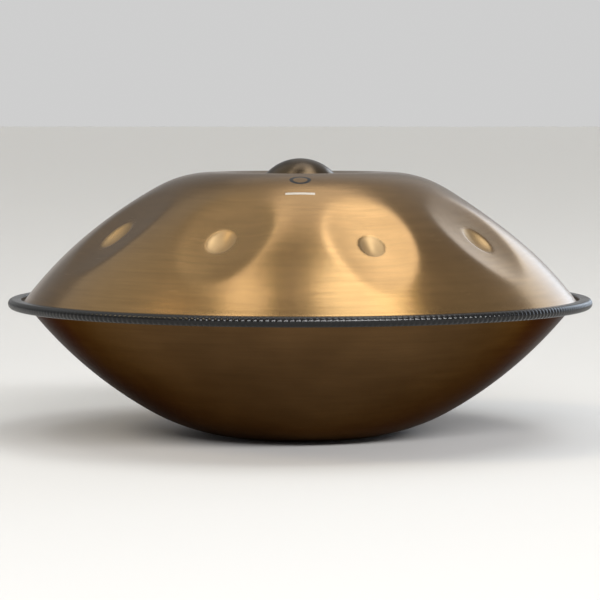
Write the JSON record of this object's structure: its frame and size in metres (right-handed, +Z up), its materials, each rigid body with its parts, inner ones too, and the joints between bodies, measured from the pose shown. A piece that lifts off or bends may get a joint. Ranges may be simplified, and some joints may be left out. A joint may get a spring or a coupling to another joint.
{
  "type": "handpan",
  "caption": "Lens-shaped hand-played steel drum: domed upper shell with tone fields around a raised dome, lower shell with a port, ribbed rim trim.",
  "frame": {"origin": "middle of the port lip's lowest circle, which the body rests on", "axes": "+Z up through the middle of the raised dome, -Y towards the highest notes, +X to the right as seen from -Y"},
  "size_m": [0.54, 0.54, 0.2561],
  "materials": {
    "upper_metal": "heat-coloured bronze, fine circular brushing, satin",
    "lower_metal": "heat-coloured bronze, fine circular brushing, satin",
    "adhesive": "cured glue film",
    "trim_rubber": "black, close radial ribs, satin",
    "clip_steel": "bare steel strip"
  },
  "bodies": {
    "root": {"top_shell": "upper_metal", "bottom_shell": "lower_metal", "flange_adhesive": "adhesive", "edge_trim": "trim_rubber", "trim_clip": "clip_steel"}
  },
  "joints": []
}
